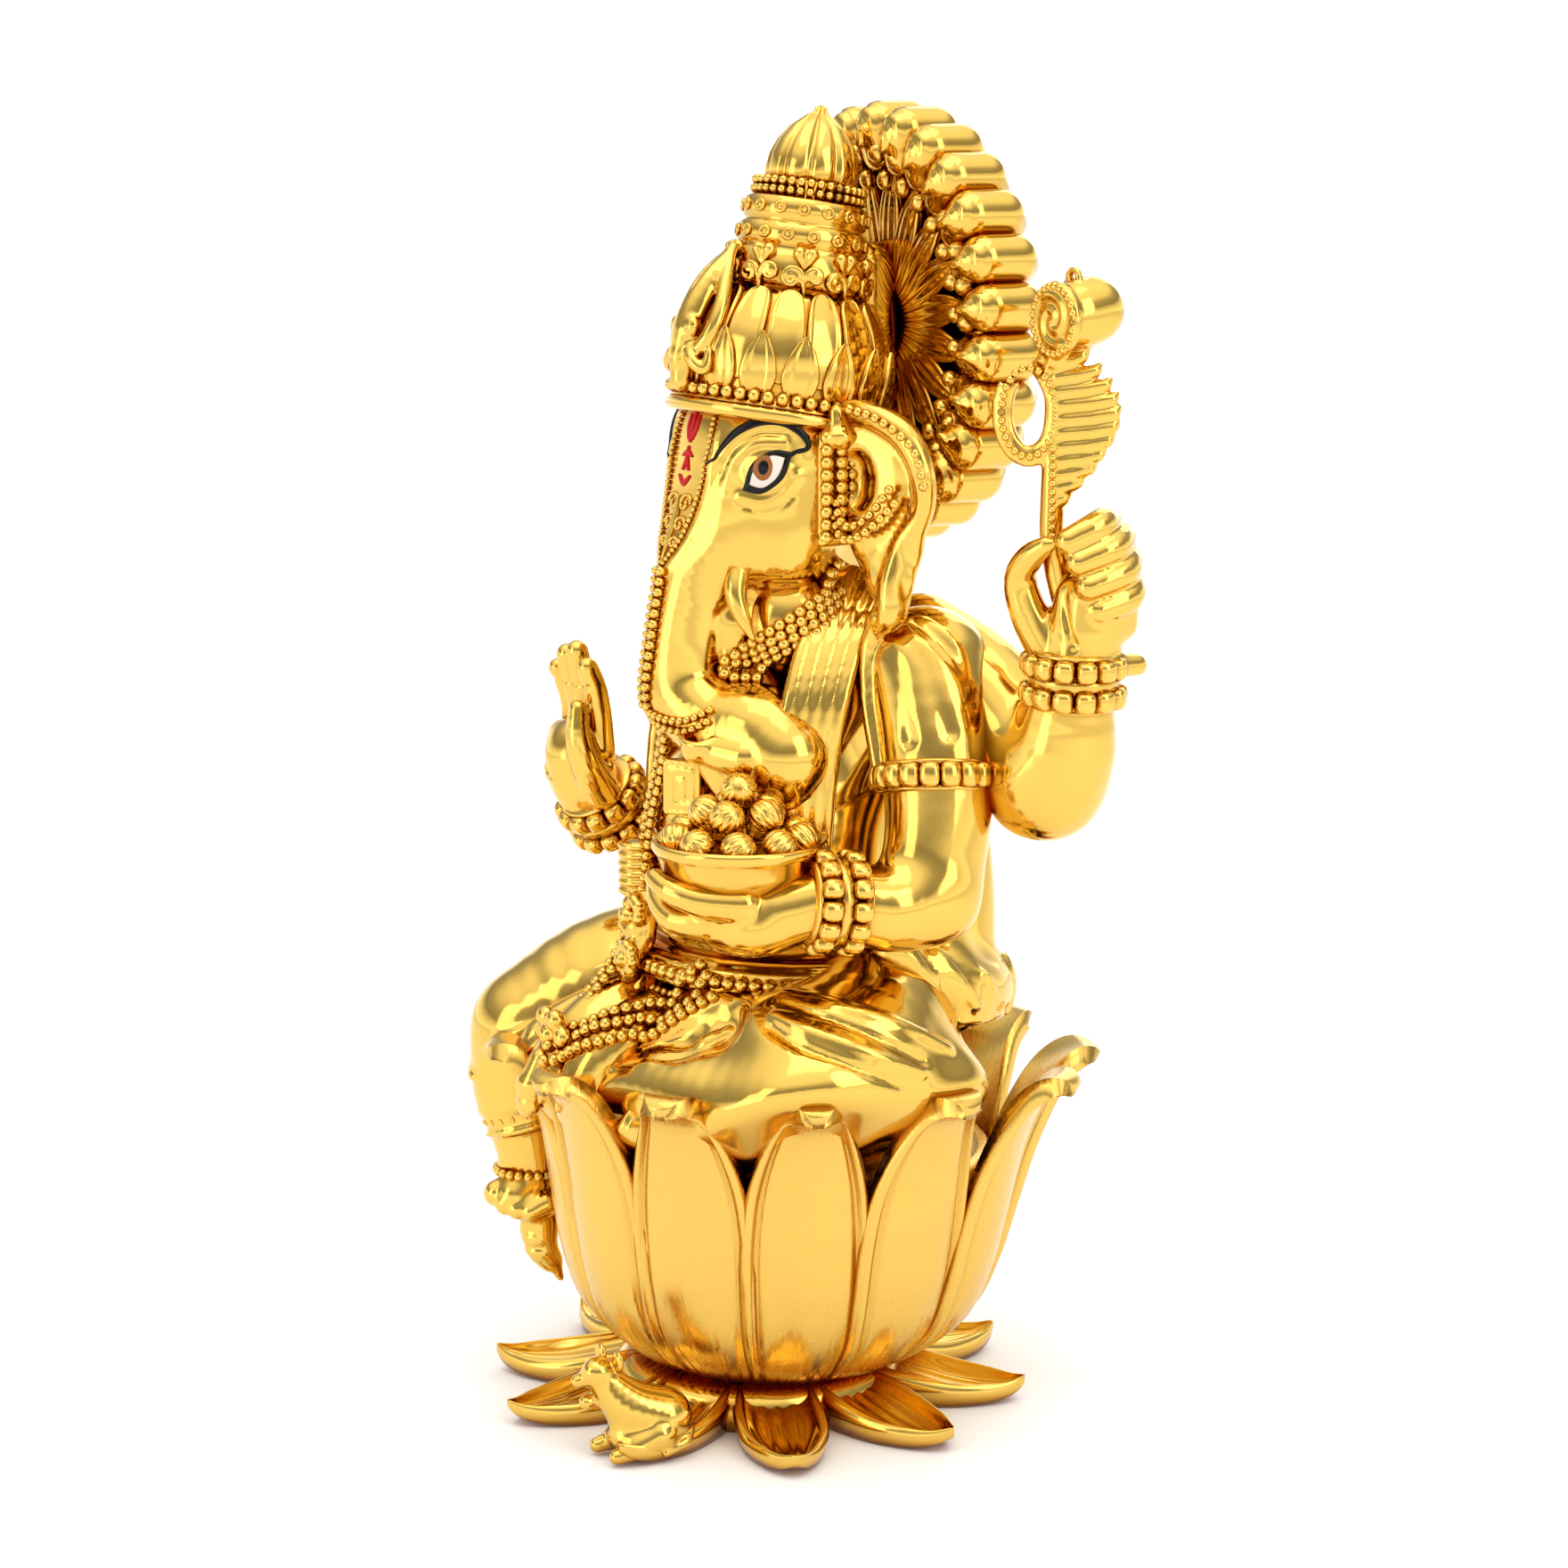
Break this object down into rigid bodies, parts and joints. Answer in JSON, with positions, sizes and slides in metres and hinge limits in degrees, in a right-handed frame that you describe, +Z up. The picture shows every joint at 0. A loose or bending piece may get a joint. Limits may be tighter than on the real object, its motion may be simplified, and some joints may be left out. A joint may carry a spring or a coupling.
{
  "type": "seated deity statue",
  "caption": "Seated elephant-headed deity statue on a lotus throne, with crown, aureole, four arms holding a goad, an axe and a bowl of sweets, and a mouse on the base.",
  "frame": {"origin": "centre of the lotus throne's axis on the resting plane under the base plinth", "axes": "+Z up; the figure looks along -Y, its own left hand is at +X"},
  "size_m": [0.173, 0.1487, 0.3003],
  "materials": {
    "plated_gold": "mirror-bright electroplated gold",
    "satin_gold": "satin gold with fine combed lines",
    "beaded_gold": "bright electroplated gold, darker between the beads",
    "eye_enamel": "glossy hand-painted enamel, black line and brown iris",
    "red_enamel": "glossy red enamel"
  },
  "bodies": {
    "root": {"aureole": "plated_gold", "aureole_beads": "beaded_gold", "aureole_knobs": "plated_gold", "back_drape": "plated_gold", "base_petals": "satin_gold", "base_plinth": "satin_gold", "battle_axe": "plated_gold", "brow_panel": "plated_gold", "crown_bands": "plated_gold", "crown_dome": "plated_gold", "crown_finial": "plated_gold", "dhoti_apron": "plated_gold", "flower_tassel": "beaded_gold", "forehead_mark": "red_enamel", "goad": "plated_gold", "head": "plated_gold", "hips": "plated_gold", "left_arm": "plated_gold", "left_armlet": "beaded_gold", "left_bracelets": "beaded_gold", "left_ear": "plated_gold", "left_eye": "eye_enamel", "left_hand": "plated_gold", "left_leg": "plated_gold", "left_temple_tassel": "beaded_gold", "left_tusk": "plated_gold", "long_garland": "beaded_gold", "lotus_seat": "satin_gold", "mouse": "plated_gold", "necklaces": "beaded_gold", "rear_left_arm": "plated_gold", "rear_left_bracelets": "beaded_gold", "rear_left_hand": "plated_gold", "rear_right_arm": "plated_gold", "rear_right_bracelets": "beaded_gold", "rear_right_hand": "plated_gold", "right_arm": "plated_gold", "right_armlet": "beaded_gold", "right_bracelets": "beaded_gold", "right_ear": "plated_gold", "right_eye": "eye_enamel", "right_foot": "plated_gold", "right_hand": "plated_gold", "right_leg": "plated_gold", "right_temple_tassel": "beaded_gold", "right_tusk": "plated_gold", "seat_deck": "satin_gold", "shawl_left": "plated_gold", "shawl_right": "plated_gold", "sweet_bowl": "plated_gold", "sweets": "beaded_gold", "torso": "plated_gold", "waist_belt": "beaded_gold"}
  },
  "joints": []
}
